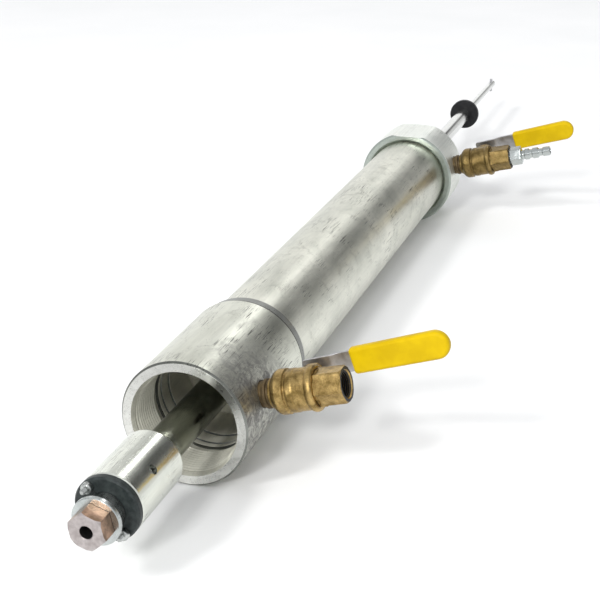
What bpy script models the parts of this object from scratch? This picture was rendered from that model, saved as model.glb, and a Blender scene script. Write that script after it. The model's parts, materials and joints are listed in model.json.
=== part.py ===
"""Through-rod pneumatic cylinder with a threaded front collar, two side ball valves and a capped rear end.

Stations run along the tube from the collar's mouth (0) to the rear, in millimetres.
"""
import math

import bmesh
import bpy
from mathutils import Matrix, Vector

MM = 0.001

# ---- driving dimensions, millimetres -------------------------------------------------
COLLAR_R = 50.8          # outside of the 3 inch pipe coupling
COLLAR_LEN = 138.0
MOUTH_R = 41.7           # root of the mouth thread
THREAD_PITCH = 3.175     # eight threads to the inch
THREAD_DEPTH = 1.5
THREAD_TURNS = 11
BORE_R = 40.4            # smooth bore behind the thread
POCKET_R = 44.85         # pocket for the tube, in the collar and the cap

TUBE_R = 44.45           # 3 inch pipe
TUBE_IN_R = 39.0
TUBE_FRONT = 112.0
TUBE_REAR = 684.0

CAP_R = 54.4
CAP_FRONT = 663.0
CAP_REAR = 725.0

ROD_R = 14.0
REAR_ROD_R = 9.5
TIP_ROD_R = 4.75
HEAD_R = 23.8
HEAD_FRONT = -119.0
HEAD_REAR = -53.0
PISTON_AT = 400.0
BUMPER_AT = 993.0
BUMPER_R = 19.8
TIP_END = 1206.0

FRONT_VALVE_ANGLE = math.radians(16.0)
REAR_VALVE_ANGLE = math.radians(14.0)
REAR_STEM_TILT = math.radians(10.0)  # rear valve is screwed in with its stem leaning upwards
LEVER_SET = math.radians(3.4)        # lever stands this far past the bore line when open
FRONT_VALVE_AT = 41.0
REAR_VALVE_AT = 694.0
VALVE_STAND_OFF = 31.0   # ball centre above the surface the valve is screwed into
BALL_R = 11.0
PORT_R = 6.9
VALVE_R = 16.7
NECK_R = 10.4
LEVER_LEVEL = 38.0       # lever plate above the ball centre
LEVER_REACH = 105.0
GRIP_FROM = 28.0
REAR_GRIP_FROM = 35.0    # shorter dip on the rear lever
GRIP_TO = 107.0

AXIS_X = -64.6 * MM
MOUTH_Y = -525.8 * MM
AXIS_Z = COLLAR_R * MM

TURN = 2.0 * math.pi
FACE_REAR = (-math.pi / 2.0, 0.0, 0.0)


# ---- scene ---------------------------------------------------------------------------
for old in list(bpy.data.objects):
    bpy.data.objects.remove(old, do_unlink=True)

scene = bpy.context.scene
scene.unit_settings.system = "METRIC"
parts = bpy.data.collections.new("pneumatic_cylinder")
cutters = bpy.data.collections.new("cutters")
scene.collection.children.link(parts)
scene.collection.children.link(cutters)


def material(name, colour, roughness, metallic):
    mat = bpy.data.materials.new(name)
    mat.use_nodes = True
    shader = mat.node_tree.nodes["Principled BSDF"]
    shader.inputs["Base Color"].default_value = (*colour, 1.0)
    shader.inputs["Roughness"].default_value = roughness
    shader.inputs["Metallic"].default_value = metallic
    mat.diffuse_color = (*colour, 1.0)
    return mat


ZINC = ((0.66, 0.67, 0.66), 0.38, 1.0)
BRIGHT = ((0.80, 0.81, 0.81), 0.16, 1.0)
DULL_STEEL = ((0.42, 0.42, 0.43), 0.45, 1.0)
BRASS = ((0.66, 0.46, 0.20), 0.40, 1.0)
BRONZE = ((0.55, 0.36, 0.20), 0.42, 1.0)
COPPER = ((0.72, 0.46, 0.34), 0.34, 1.0)
RUBBER = ((0.018, 0.018, 0.020), 0.55, 0.0)
SLATE = ((0.045, 0.058, 0.066), 0.45, 0.0)
PTFE = ((0.85, 0.85, 0.82), 0.50, 0.0)
VINYL = ((0.86, 0.68, 0.01), 0.42, 0.0)


def finish(obj, look, hidden=False):
    if hidden:
        cutters.objects.link(obj)
        obj.hide_render = True
        obj.display_type = "WIRE"
    else:
        parts.objects.link(obj)
        obj.data.materials.append(material(obj.name, *look))
    return obj


def place(obj, parent, location, rotation):
    obj.parent = parent
    obj.location = location
    obj.rotation_euler = rotation
    return obj


def frame_at(name, location, rotation):
    empty = bpy.data.objects.new(name, None)
    parts.objects.link(empty)
    empty.empty_display_size = 0.02
    empty.location = location
    empty.rotation_euler = rotation
    return empty


# ---- shape helpers -------------------------------------------------------------------
def wound(profile):
    area = 0.0
    for (r0, z0), (r1, z1) in zip(profile, profile[1:] + profile[:1]):
        area += r0 * z1 - r1 * z0
    return profile if area < 0.0 else profile[::-1]


def lathe(name, profile, look=None, steps=32, parent=None, at=(0, 0, 0), turn=(0, 0, 0)):
    """Revolve a closed (radius, height) outline in millimetres about the local Z axis."""
    profile = wound([(float(r), float(z)) for r, z in profile])
    on_axis = [i for i, (r, _) in enumerate(profile) if r < 1e-6]
    count = len(profile)
    if on_axis:
        start = next(i for i in on_axis if (i - 1) % count in on_axis)
        profile = profile[start:] + profile[:start]
    mesh = bpy.data.meshes.new(name)
    edges = [(i, i + 1) for i in range(count - 1)]
    if not on_axis:
        edges.append((count - 1, 0))
    mesh.from_pydata([(r * MM, 0.0, z * MM) for r, z in profile], edges, [])
    obj = bpy.data.objects.new(name, mesh)
    finish(obj, look, hidden=look is None)
    screw = obj.modifiers.new("Lathe", "SCREW")
    screw.axis = "Z"
    screw.angle = TURN
    screw.steps = steps
    screw.render_steps = steps
    screw.use_merge_vertices = True
    screw.merge_threshold = 0.00001
    return place(obj, parent, at, turn)


def add_mesh(name, mesh, look, parent=None, at=(0, 0, 0), turn=(0, 0, 0)):
    obj = bpy.data.objects.new(name, mesh)
    finish(obj, look, hidden=look is None)
    return place(obj, parent, at, turn)


def hex_bar(name, across_flats, low, high, look=None, corner_at=0.0, **where):
    """Hexagon bar along the local Z axis, with one corner at the given angle from X in degrees."""
    corner = across_flats / 2.0 / math.cos(math.pi / 6.0) * MM
    lift = Matrix.Translation((0.0, 0.0, (low + high) / 2.0 * MM))
    bm = bmesh.new()
    bmesh.ops.create_cone(bm, cap_ends=True, segments=6, radius1=corner, radius2=corner,
                          depth=(high - low) * MM,
                          matrix=lift @ Matrix.Rotation(math.radians(corner_at - 90.0), 4, "Z"))
    mesh = bpy.data.meshes.new(name)
    bm.to_mesh(mesh)
    bm.free()
    return add_mesh(name, mesh, look, **where)


def block(name, size, centre, look=None, **where):
    bm = bmesh.new()
    shift = Matrix.Translation(Vector(centre) * MM)
    bmesh.ops.create_cube(bm, size=MM, matrix=shift @ Matrix.Diagonal((*size, 1.0)))
    mesh = bpy.data.meshes.new(name)
    bm.to_mesh(mesh)
    bm.free()
    return add_mesh(name, mesh, look, **where)


def plate(name, outline, low, high, look=None, facing="Y", parent=None):
    """Flat outline extruded from low to high along local Y (outline in XZ) or X (outline in YZ)."""
    curve = bpy.data.curves.new(name + "_outline", "CURVE")
    curve.dimensions = "2D"
    curve.fill_mode = "BOTH"
    curve.extrude = (high - low) / 2.0 * MM
    spline = curve.splines.new("POLY")
    spline.points.add(len(outline) - 1)
    for point, (u, v) in zip(spline.points, outline):
        point.co = (u * MM, v * MM, 0.0, 1.0)
    spline.use_cyclic_u = True
    drawn = bpy.data.objects.new(name + "_outline", curve)
    scene.collection.objects.link(drawn)
    depsgraph = bpy.context.evaluated_depsgraph_get()
    mesh = bpy.data.meshes.new_from_object(drawn.evaluated_get(depsgraph))
    bpy.data.objects.remove(drawn, do_unlink=True)
    bm = bmesh.new()
    bm.from_mesh(mesh)
    bmesh.ops.remove_doubles(bm, verts=bm.verts, dist=0.00001)
    bm.to_mesh(mesh)
    bm.free()
    middle = (low + high) / 2.0 * MM
    if facing == "X":
        return add_mesh(name, mesh, look, parent, (middle, 0, 0), (math.pi / 2.0, 0.0, math.pi / 2.0))
    return add_mesh(name, mesh, look, parent, (0, middle, 0), (math.pi / 2.0, 0.0, 0.0))


def rod(radius, low, high, chamfer=0.0):
    """Outline of a plain round bar with optional end chamfers."""
    if chamfer:
        return [(0, high), (radius - chamfer, high), (radius, high - chamfer),
                (radius, low + chamfer), (radius - chamfer, low), (0, low)]
    return [(0, high), (radius, high), (radius, low), (0, low)]


def ring(outer, inner, low, high, chamfer=0.0):
    if chamfer:
        return [(outer - chamfer, high), (outer, high - chamfer), (outer, low + chamfer),
                (outer - chamfer, low), (inner, low), (inner, high)]
    return [(outer, high), (outer, low), (inner, low), (inner, high)]


def combine(obj, other, operation):
    mod = obj.modifiers.new(operation.title(), "BOOLEAN")
    mod.operation = operation
    mod.solver = "EXACT"
    mod.object = other


def bevel(obj, width, segments=1, angle=35.0):
    mod = obj.modifiers.new("Bevel", "BEVEL")
    mod.width = width * MM
    mod.segments = segments
    mod.limit_method = "ANGLE"
    mod.angle_limit = math.radians(angle)


def thread_rings(root, crest, start, pitch, turns):
    """Zigzag of an inside thread, walked from the mouth inwards."""
    points = []
    for k in range(turns):
        points.append((root, start + k * pitch))
        points.append((crest, start + (k + 0.5) * pitch))
    points.append((root, start + turns * pitch))
    return points


# ---- frames --------------------------------------------------------------------------
body_frame = frame_at("body_frame", (AXIS_X, MOUTH_Y, AXIS_Z), FACE_REAR)
rod_frame = frame_at("rod_frame", (AXIS_X, MOUTH_Y, AXIS_Z), FACE_REAR)


def valve_frame(name, station, surface_radius, angle, tilt=0.0):
    reach = (surface_radius + VALVE_STAND_OFF) * MM
    spot = (AXIS_X + reach * math.cos(angle), MOUTH_Y + station * MM,
            AXIS_Z + reach * math.sin(angle))
    valve = frame_at(name + "_valve_frame", spot, (0.0, math.pi / 2.0 - angle, tilt))
    valve.rotation_mode = "ZYX"
    handle = frame_at(name + "_handle_frame", (0.0, 0.0, 0.0), (0.0, -LEVER_SET, 0.0))
    handle.parent = valve
    return valve, handle


front_valve, front_handle = valve_frame("front", FRONT_VALVE_AT, COLLAR_R, FRONT_VALVE_ANGLE)
rear_valve, rear_handle = valve_frame("rear", REAR_VALVE_AT, CAP_R, REAR_VALVE_ANGLE, REAR_STEM_TILT)


# ---- barrel --------------------------------------------------------------------------
tube = lathe("barrel_tube", [
    (TUBE_R, TUBE_REAR), (TUBE_R, TUBE_FRONT), (TUBE_IN_R, TUBE_FRONT), (TUBE_IN_R, TUBE_REAR),
], ZINC, parent=body_frame)

mouth_thread = thread_rings(MOUTH_R, MOUTH_R - THREAD_DEPTH, 2.4, THREAD_PITCH, THREAD_TURNS)
collar = lathe("front_collar", [
    (COLLAR_R - 1.8, COLLAR_LEN), (COLLAR_R - 0.5, COLLAR_LEN - 1.6), (COLLAR_R - 0.5, 123.2),
    (COLLAR_R - 1.3, 122.8), (COLLAR_R - 1.3, 121.2), (COLLAR_R, 120.6),
    (COLLAR_R, 0.9), (COLLAR_R - 0.9, 0.0), (MOUTH_R + 1.0, 0.0),
] + mouth_thread + [
    (43.1, 38.0), (43.1, 44.0), (BORE_R, 44.4), (BORE_R, 48.2),
    (42.0, 48.6), (42.0, 51.4), (BORE_R + 0.4, 51.8), (BORE_R + 0.4, 62.0),
    (42.0, 62.4), (42.0, 65.2), (BORE_R, 65.6), (BORE_R, 100.0),
    (POCKET_R, 100.0), (POCKET_R, COLLAR_LEN),
], ZINC, parent=body_frame)
port = lathe("front_port_cutter", rod(NECK_R + 0.35, -60.0, -8.0), parent=front_valve, steps=24)
combine(collar, port, "DIFFERENCE")

lathe("front_gland", [
    (44.5, 111.6), (44.5, 100.3), (24.0, 100.3), (22.6, 101.7), (17.2, 101.7),
    (17.2, 103.6), (19.0, 103.6), (19.0, 109.4), (17.2, 109.4), (17.2, 111.6),
], DULL_STEEL, steps=32, parent=body_frame)
lathe("front_bush", ring(16.95, ROD_R + 0.25, 109.7, 126.0), BRONZE, steps=24, parent=body_frame)
lathe("rod_seal", ring(18.75, ROD_R + 0.25, 103.85, 109.15), RUBBER, steps=24, parent=body_frame)
lathe("rod_wiper", [
    (21.9, 101.4), (21.9, 100.0), (16.0, 98.2), (ROD_R + 0.25, 98.2), (ROD_R + 0.25, 101.4),
], RUBBER, steps=24, parent=body_frame)

cap = lathe("rear_cap", [
    (CAP_R - 3.4, CAP_REAR), (CAP_R, CAP_REAR - 3.4), (CAP_R, CAP_FRONT + 2.2), (CAP_R - 2.2, CAP_FRONT),
    (POCKET_R + 2.6, CAP_FRONT), (POCKET_R, CAP_FRONT + 2.4), (POCKET_R, TUBE_REAR + 0.5),
    (TUBE_IN_R, TUBE_REAR + 0.5), (TUBE_IN_R, 703.0), (13.0, 703.0), (13.0, CAP_REAR),
], ZINC, parent=body_frame)
for side, height in (("top", 1), ("bottom", -1)):
    flat = block("cap_flat_" + side + "_cutter", (120.0, 24.0, 72.0),
                 (0.0, -height * (COLLAR_R + 12.0), (CAP_FRONT + CAP_REAR) / 2.0), parent=body_frame)
    combine(cap, flat, "DIFFERENCE")
rear_port = lathe("rear_port_cutter", rod(NECK_R + 0.35, -60.0, -8.0), parent=rear_valve, steps=24)
combine(cap, rear_port, "DIFFERENCE")

lathe("rear_bush", ring(12.75, REAR_ROD_R + 0.25, 696.0, 717.5), BRONZE, steps=24, parent=body_frame)
lathe("rear_seal", ring(12.75, REAR_ROD_R + 0.25, 717.8, 724.6), RUBBER, steps=24, parent=body_frame)
gland_nut = hex_bar("rear_gland_nut", 36.0, 725.3, 735.0, DULL_STEEL, 30.0, parent=body_frame)
nut_round = lathe("gland_nut_round_cutter", [
    (0, 740.0), (17.0, 736.0), (20.8, 733.4), (20.8, 720.0), (0, 720.0)], parent=body_frame, steps=24)
nut_hole = lathe("gland_nut_bore_cutter", rod(REAR_ROD_R + 0.6, 720.0, 740.0), parent=body_frame, steps=24)
combine(gland_nut, nut_round, "INTERSECT")
combine(gland_nut, nut_hole, "DIFFERENCE")


# ---- ball valves ---------------------------------------------------------------------
def ball_valve(prefix, origin, handle, grip_from=GRIP_FROM):
    """One half inch ball valve; local Z runs outwards along the bore, local Y along the stem."""
    up = (-math.pi / 2.0, 0.0, 0.0)

    # two-piece body: a threaded neck, a wrench collar and the barrel round the ball
    body = lathe(prefix + "_valve_body", [
        (0, 14.0), (VALVE_R - 0.9, 14.0), (VALVE_R, 12.6), (VALVE_R, -7.0), (VALVE_R - 1.0, -7.8),
        (VALVE_R - 1.0, -9.0), (VALVE_R + 0.6, -10.0), (VALVE_R + 0.6, -16.0), (VALVE_R - 0.6, -18.4),
        (13.6, -20.6), (11.8, -20.8), (11.8, -23.2), (10.0, -24.0), (10.0, -25.4), (11.5, -26.0),
        (11.5, -28.2), (NECK_R, -29.2), (9.9, -37.4), (0, -37.4),
    ], BRASS, steps=24, parent=origin)
    boss = lathe(prefix + "_boss_cutter", [
        (0, 25.8), (8.8, 25.8), (9.6, 25.0), (9.6, 19.0), (11.2, 15.0), (11.2, 3.0), (0, 3.0),
    ], steps=20, parent=origin, turn=up)
    cavity = lathe(prefix + "_cavity_cutter", [
        (0, 20.0), (14.0, 20.0), (14.0, 8.3), (12.0, 8.3), (12.0, -6.4), (10.7, -6.4), (10.7, -13.5),
        (PORT_R, -13.5), (PORT_R, -50.0), (0, -50.0),
    ], steps=16, parent=origin)
    stem_way = lathe(prefix + "_stem_way_cutter", [
        (0, 40.0), (6.4, 40.0), (6.4, 20.0), (4.2, 20.0), (4.2, 13.1), (5.8, 13.1), (5.8, 3.0), (0, 3.0),
    ], steps=16, parent=origin, turn=up)
    combine(body, boss, "UNION")
    combine(body, cavity, "DIFFERENCE")
    combine(body, stem_way, "DIFFERENCE")

    # outlet piece with wrench flats and the female thread
    outlet = hex_bar(prefix + "_valve_outlet", 25.8, 14.3, 36.0, BRASS, 90.0, parent=origin)
    shape = lathe(prefix + "_outlet_round_cutter", [
        (0, 36.4), (12.9, 36.4), (14.4, 34.6), (14.4, 20.0), (16.6, 18.6), (16.6, 10.0), (0, 10.0),
    ], steps=24, parent=origin)
    insert = lathe(prefix + "_outlet_insert_cutter", rod(13.5, 8.6, 16.0), steps=20, parent=origin)
    way = [(0, 8.0), (10.7, 8.0), (10.7, 13.5), (PORT_R, 13.5), (PORT_R, 20.6), (9.0, 21.4)]
    for k in range(4):
        way.append((10.3, 23.0 + 3.0 * k))
        way.append((9.3, 24.5 + 3.0 * k))
    way += [(10.4, 35.0), (11.2, 36.6), (0, 36.6)]
    way_cutter = lathe(prefix + "_outlet_way_cutter", way, steps=20, parent=origin)
    combine(outlet, shape, "INTERSECT")
    combine(outlet, insert, "UNION")
    combine(outlet, way_cutter, "DIFFERENCE")

    # ball with its through bore along the flow and a drive slot across the top
    arc = [(BALL_R * math.sin(math.pi * k / 10.0), BALL_R * math.cos(math.pi * k / 10.0)) for k in range(11)]
    arc[0] = (0.0, BALL_R)
    arc[-1] = (0.0, -BALL_R)
    ball = lathe(prefix + "_ball", arc, BRIGHT, steps=20, parent=handle, turn=up)
    ball_bore = lathe(prefix + "_ball_bore_cutter", rod(6.35, -14.0, 14.0), steps=16, parent=handle)
    ball_slot = block(prefix + "_ball_slot_cutter", (3.6, 24.0, 5.8), (0.0, 0.0, 11.1),
                      parent=handle, turn=up)
    combine(ball, ball_bore, "DIFFERENCE")
    combine(ball, ball_slot, "DIFFERENCE")

    seat = [(10.4, 13.2), (10.4, 7.0), (9.6, 7.0), (7.3, 9.3), (7.3, 13.2)]
    lathe(prefix + "_seat_outer", seat, PTFE, steps=16, parent=origin)
    lathe(prefix + "_seat_inner", seat, PTFE, steps=16, parent=origin, turn=(math.pi, 0.0, 0.0))

    # stem with its shoulder below the packing and a flat-sided top for the lever
    stem = lathe(prefix + "_stem", [
        (0, 46.6), (2.6, 46.6), (3.2, 46.0), (3.2, 37.0), (3.9, 36.4), (3.9, 12.8), (5.4, 12.8),
        (5.4, 11.4), (0, 11.4),
    ], BRASS, steps=16, parent=handle, turn=up)
    tang = block(prefix + "_tang_cutter", (2.8, 7.2, 3.4), (0.0, 0.0, 10.3), parent=handle, turn=up)
    combine(stem, tang, "UNION")
    lathe(prefix + "_packing", ring(6.1, 4.15, 20.3, 23.0), PTFE, steps=16, parent=origin, turn=up)

    packing_nut = hex_bar(prefix + "_packing_nut", 15.0, 26.1, 32.0, BRASS, 30.0, parent=origin, turn=up)
    nut_shape = lathe(prefix + "_packing_round_cutter", [
        (0, 36.0), (6.4, 32.6), (8.7, 31.0), (8.7, 24.0), (0, 24.0)], steps=20, parent=origin, turn=up)
    nut_nose = lathe(prefix + "_packing_nose_cutter", rod(6.1, 23.2, 27.0), steps=16, parent=origin, turn=up)
    nut_bore = lathe(prefix + "_packing_bore_cutter", rod(4.15, 20.0, 36.0), steps=16,
                     parent=origin, turn=up)
    combine(packing_nut, nut_shape, "INTERSECT")
    combine(packing_nut, nut_nose, "UNION")
    combine(packing_nut, nut_bore, "DIFFERENCE")

    # pressed lever: low at the stem, stepped up to the grip
    thick = 2.4
    run = [(-11.0, LEVER_LEVEL - 1.0), (13.0, LEVER_LEVEL - 1.0), (20.0, LEVER_LEVEL + 2.0),
           (LEVER_REACH, LEVER_LEVEL + 2.0)]
    side = [(level, out) for out, level in run] + [(level + thick, out) for out, level in reversed(run)]
    lever = plate(prefix + "_lever", side, -11.5, 11.5, DULL_STEEL, facing="X", parent=handle)
    plan = [(-9.0, -11.0), (9.0, -11.0), (9.0, 10.0), (8.6, 26.0), (8.6, LEVER_REACH - 6.0),
            (4.0, LEVER_REACH), (-4.0, LEVER_REACH), (-8.6, LEVER_REACH - 6.0), (-8.6, 26.0), (-9.0, 10.0)]
    blank = plate(prefix + "_lever_plan_cutter", plan, LEVER_LEVEL - 8.0, LEVER_LEVEL + 12.0, parent=handle)
    eye = lathe(prefix + "_lever_eye_cutter", rod(3.55, LEVER_LEVEL - 6.0, LEVER_LEVEL + 8.0), steps=16,
                parent=handle, turn=up)
    combine(lever, blank, "INTERSECT")
    combine(lever, eye, "DIFFERENCE")

    nut = hex_bar(prefix + "_lever_nut", 10.0, 39.7, 44.2, DULL_STEEL, 30.0, parent=handle, turn=up)
    thread_way = lathe(prefix + "_lever_nut_cutter", rod(3.5, 36.0, 48.0), steps=16, parent=handle, turn=up)
    combine(nut, thread_way, "DIFFERENCE")
    bevel(nut, 0.4)

    # dipped grip with a round end, open where the lever enters
    middle = LEVER_LEVEL + 2.0 + thick / 2.0
    grip_plan = [(-10.6, grip_from), (10.6, grip_from), (11.2, GRIP_TO - 11.0)]
    for k in range(1, 6):
        a = math.pi * k / 6.0
        grip_plan.append((11.2 * math.cos(a), GRIP_TO - 11.0 + 11.0 * math.sin(a)))
    grip_plan.append((-11.2, GRIP_TO - 11.0))
    grip = plate(prefix + "_grip", grip_plan, middle - 4.4, middle + 4.4, VINYL, parent=handle)
    bevel(grip, 2.4, 3, 50.0)
    way_plan = [(-8.9, grip_from - 4.0), (8.9, grip_from - 4.0), (8.9, LEVER_REACH - 4.8),
                (4.6, LEVER_REACH + 0.3), (-4.6, LEVER_REACH + 0.3), (-8.9, LEVER_REACH - 4.8)]
    sleeve_way = plate(prefix + "_grip_way_cutter", way_plan, LEVER_LEVEL + 1.7, LEVER_LEVEL + 2.3 + thick,
                       parent=handle)
    combine(grip, sleeve_way, "DIFFERENCE")


ball_valve("front", front_valve, front_handle)
ball_valve("rear", rear_valve, rear_handle, REAR_GRIP_FROM)

# quick-connect air plug screwed into the rear valve's outlet
plug = lathe("rear_air_plug", [
    (4.6, 83.0), (5.4, 82.2), (5.4, 75.0), (4.3, 74.0), (4.3, 70.4), (6.2, 68.6), (6.2, 63.0),
    (5.0, 62.2), (5.0, 59.4), (6.4, 58.0), (6.4, 54.0), (5.4, 53.2), (5.4, 50.6), (8.0, 49.8),
    (8.0, 36.8), (8.9, 36.4), (8.9, 23.2), (8.3, 22.4), (3.4, 22.4), (3.4, 83.0),
], BRIGHT, steps=16, parent=rear_valve)
plug_hex = hex_bar("plug_hex_cutter", 19.0, 36.9, 49.2, corner_at=30.0, parent=rear_valve)
plug_way = lathe("plug_way_cutter", rod(3.4, 20.0, 90.0), steps=16, parent=rear_valve)
combine(plug, plug_hex, "UNION")
combine(plug, plug_way, "DIFFERENCE")


# ---- rod group -----------------------------------------------------------------------
lathe("front_rod", rod(ROD_R, -103.0, PISTON_AT - 0.3, 1.0), BRIGHT, steps=32, parent=rod_frame)
lathe("piston", [
    (38.5, PISTON_AT + 40.0), (38.5, PISTON_AT + 34.3), (34.0, PISTON_AT + 34.3), (34.0, PISTON_AT + 27.7),
    (38.5, PISTON_AT + 27.7), (38.5, PISTON_AT + 25.0), (36.0, PISTON_AT + 25.0), (36.0, PISTON_AT + 15.0),
    (38.5, PISTON_AT + 15.0), (38.5, PISTON_AT + 12.3), (34.0, PISTON_AT + 12.3), (34.0, PISTON_AT + 5.7),
    (38.5, PISTON_AT + 5.7), (38.5, PISTON_AT), (0, PISTON_AT), (0, PISTON_AT + 40.0),
], DULL_STEEL, steps=32, parent=rod_frame)
lathe("piston_seal_front", ring(38.7, 34.3, PISTON_AT + 6.0, PISTON_AT + 12.0), RUBBER, parent=rod_frame)
lathe("piston_seal_rear", ring(38.7, 34.3, PISTON_AT + 28.0, PISTON_AT + 34.0), RUBBER, parent=rod_frame)
lathe("piston_wear_ring", ring(38.7, 36.3, PISTON_AT + 15.3, PISTON_AT + 24.7), PTFE, parent=rod_frame)
piston_nut = hex_bar("piston_nut", 30.0, PISTON_AT + 40.3, PISTON_AT + 54.0, DULL_STEEL, parent=rod_frame)
piston_nut_way = lathe("piston_nut_cutter", rod(REAR_ROD_R + 0.3, PISTON_AT + 36.0, PISTON_AT + 60.0),
                       steps=24, parent=rod_frame)
combine(piston_nut, piston_nut_way, "DIFFERENCE")
lathe("rear_rod", rod(REAR_ROD_R, PISTON_AT + 40.3, BUMPER_AT - 0.3, 0.6), BRIGHT, steps=24,
      parent=rod_frame)

# nose: sleeve on the rod, packing disc, backing washer and the drilled hex nut
head = lathe("nose_sleeve", [
    (HEAD_R - 2.6, HEAD_REAR), (HEAD_R - 0.4, HEAD_REAR - 1.6), (HEAD_R, HEAD_REAR - 3.0),
    (HEAD_R, HEAD_FRONT + 0.8), (HEAD_R - 0.8, HEAD_FRONT), (0, HEAD_FRONT), (0, -103.4),
    (ROD_R + 0.3, -103.4), (ROD_R + 0.3, HEAD_REAR),
], BRIGHT, parent=rod_frame)
pin_frame = frame_at("nose_pin_frame", (AXIS_X, MOUTH_Y - 91.0 * MM, AXIS_Z),
                     (0.0, math.radians(50.7), 0.0))
pin_way = lathe("nose_pin_cutter", rod(3.7, -30.0, 30.0), steps=16, parent=pin_frame)
combine(head, pin_way, "DIFFERENCE")
combine(bpy.data.objects["front_rod"], pin_way, "DIFFERENCE")
lathe("nose_pin", ring(3.4, 1.9, -18.0, 18.0), DULL_STEEL, steps=16, parent=pin_frame)

lathe("packing_disc", [
    (HEAD_R - 0.3, -119.4), (HEAD_R, -120.0), (HEAD_R, -124.0), (HEAD_R - 1.2, -125.2),
    (0, -125.2), (0, -119.4),
], SLATE, parent=rod_frame)
lathe("nose_spacer", rod(13.5, -136.9, -125.5), DULL_STEEL, steps=24, parent=rod_frame)
lathe("backing_washer", [
    (17.0, -137.2), (17.6, -137.8), (17.6, -140.4), (17.0, -141.0), (0, -141.0), (0, -137.2),
], ZINC, parent=rod_frame)
nozzle = hex_bar("nozzle_nut", 24.4, -154.4, -141.3, COPPER, -42.0, parent=rod_frame)
nozzle_round = lathe("nozzle_round_cutter", [
    (0, -130.0), (14.6, -130.0), (14.6, -152.4), (12.4, -154.6), (0, -154.6)], steps=36, parent=rod_frame)
nozzle_way = lathe("nozzle_way_cutter", rod(4.7, -160.0, -147.0), steps=24, parent=rod_frame)
combine(nozzle, nozzle_round, "INTERSECT")
combine(nozzle, nozzle_way, "DIFFERENCE")
for tag, angle in (("upper", 129.0), ("lower", -51.0)):
    a = math.radians(angle)
    spot = (19.6 * math.cos(a) * MM, -19.6 * math.sin(a) * MM, 0.0)
    lathe("nose_screw_" + tag, [
        (0, -125.5), (3.9, -125.5), (3.9, -128.6), (3.2, -129.4), (1.9, -129.4), (1.9, -133.6),
        (1.3, -134.2), (0, -134.2),
    ], DULL_STEEL, steps=16, parent=rod_frame, at=spot)

# rear stop: rubber disc, collar, thin rod and the pin at its tip
lathe("bumper_disc", [
    (BUMPER_R - 1.6, BUMPER_AT + 10.0), (BUMPER_R, BUMPER_AT + 8.4), (BUMPER_R, BUMPER_AT + 1.6),
    (BUMPER_R - 1.6, BUMPER_AT), (0, BUMPER_AT), (0, BUMPER_AT + 10.0),
], RUBBER, parent=rod_frame)
lathe("bumper_collar", rod(11.0, BUMPER_AT + 10.3, BUMPER_AT + 20.0, 0.8), DULL_STEEL, steps=24,
      parent=rod_frame)
tip = lathe("tip_rod", rod(TIP_ROD_R, BUMPER_AT + 20.3, TIP_END, 0.6), BRIGHT, steps=16, parent=rod_frame)
tip_frame = frame_at("tip_pin_frame", (AXIS_X, MOUTH_Y + 1196.0 * MM, AXIS_Z), (0.0, 0.0, 0.0))
tip_way = lathe("tip_pin_cutter", rod(2.4, -8.0, 8.0), steps=12, parent=tip_frame)
combine(tip, tip_way, "DIFFERENCE")
lathe("tip_pin", rod(2.0, -10.0, 9.0), DULL_STEEL, steps=12, parent=tip_frame)
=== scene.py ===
"""Looks of the through-rod pneumatic cylinder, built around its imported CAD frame.

Outlines are in millimetres: (radius, station) about a part's own axis, or (across, along) in plan.
"""
import math

import bmesh  # noqa: E402
import bpy  # noqa: E402
from mathutils import Euler, Matrix, Vector  # noqa: E402
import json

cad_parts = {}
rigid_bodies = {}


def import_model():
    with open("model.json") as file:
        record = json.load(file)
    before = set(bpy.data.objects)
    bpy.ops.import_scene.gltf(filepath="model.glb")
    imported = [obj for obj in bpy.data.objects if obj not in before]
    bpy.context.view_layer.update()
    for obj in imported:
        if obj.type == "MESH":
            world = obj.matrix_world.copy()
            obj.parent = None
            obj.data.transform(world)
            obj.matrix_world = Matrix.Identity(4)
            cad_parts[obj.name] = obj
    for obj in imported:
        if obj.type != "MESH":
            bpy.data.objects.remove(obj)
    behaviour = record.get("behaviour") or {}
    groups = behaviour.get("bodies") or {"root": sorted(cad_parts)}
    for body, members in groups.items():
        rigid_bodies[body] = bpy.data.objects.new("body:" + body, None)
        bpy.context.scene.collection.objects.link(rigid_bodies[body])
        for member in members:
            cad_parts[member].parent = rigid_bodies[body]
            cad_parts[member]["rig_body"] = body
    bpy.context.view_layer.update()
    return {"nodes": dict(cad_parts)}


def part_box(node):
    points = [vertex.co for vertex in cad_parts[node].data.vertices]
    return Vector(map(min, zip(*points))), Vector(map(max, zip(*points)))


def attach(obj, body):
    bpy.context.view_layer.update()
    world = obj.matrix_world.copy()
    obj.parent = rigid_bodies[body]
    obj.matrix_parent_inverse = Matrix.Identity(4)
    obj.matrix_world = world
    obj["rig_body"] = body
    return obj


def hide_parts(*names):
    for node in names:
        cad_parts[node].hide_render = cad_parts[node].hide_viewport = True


for old in list(bpy.data.objects):
    bpy.data.objects.remove(old, do_unlink=True)

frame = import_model()
nodes = frame["nodes"]
slots = {n: o.data.materials[0].name.split(".")[0] for n, o in nodes.items()}

MM = 0.001
TURN = 2.0 * math.pi
SHARP = math.radians(31.0)


# ---- frames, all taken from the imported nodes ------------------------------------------
def centre_of(node):
    low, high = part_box(node)
    return (low + high) / 2.0


tube_mid = centre_of("barrel_tube")
mouth_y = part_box("front_collar")[0].y
AXIS = Vector((tube_mid.x, mouth_y, tube_mid.z))
# local Z runs along the cylinder's axis, from the mouth backwards
ALONG = Matrix.Translation(AXIS) @ Matrix.Rotation(-math.pi / 2.0, 4, "X")
UPRIGHT = Matrix.Rotation(-math.pi / 2.0, 4, "X")
# how far both levers stand off the line of their outlets
LEVER_SET = math.radians(3.4)


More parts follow.
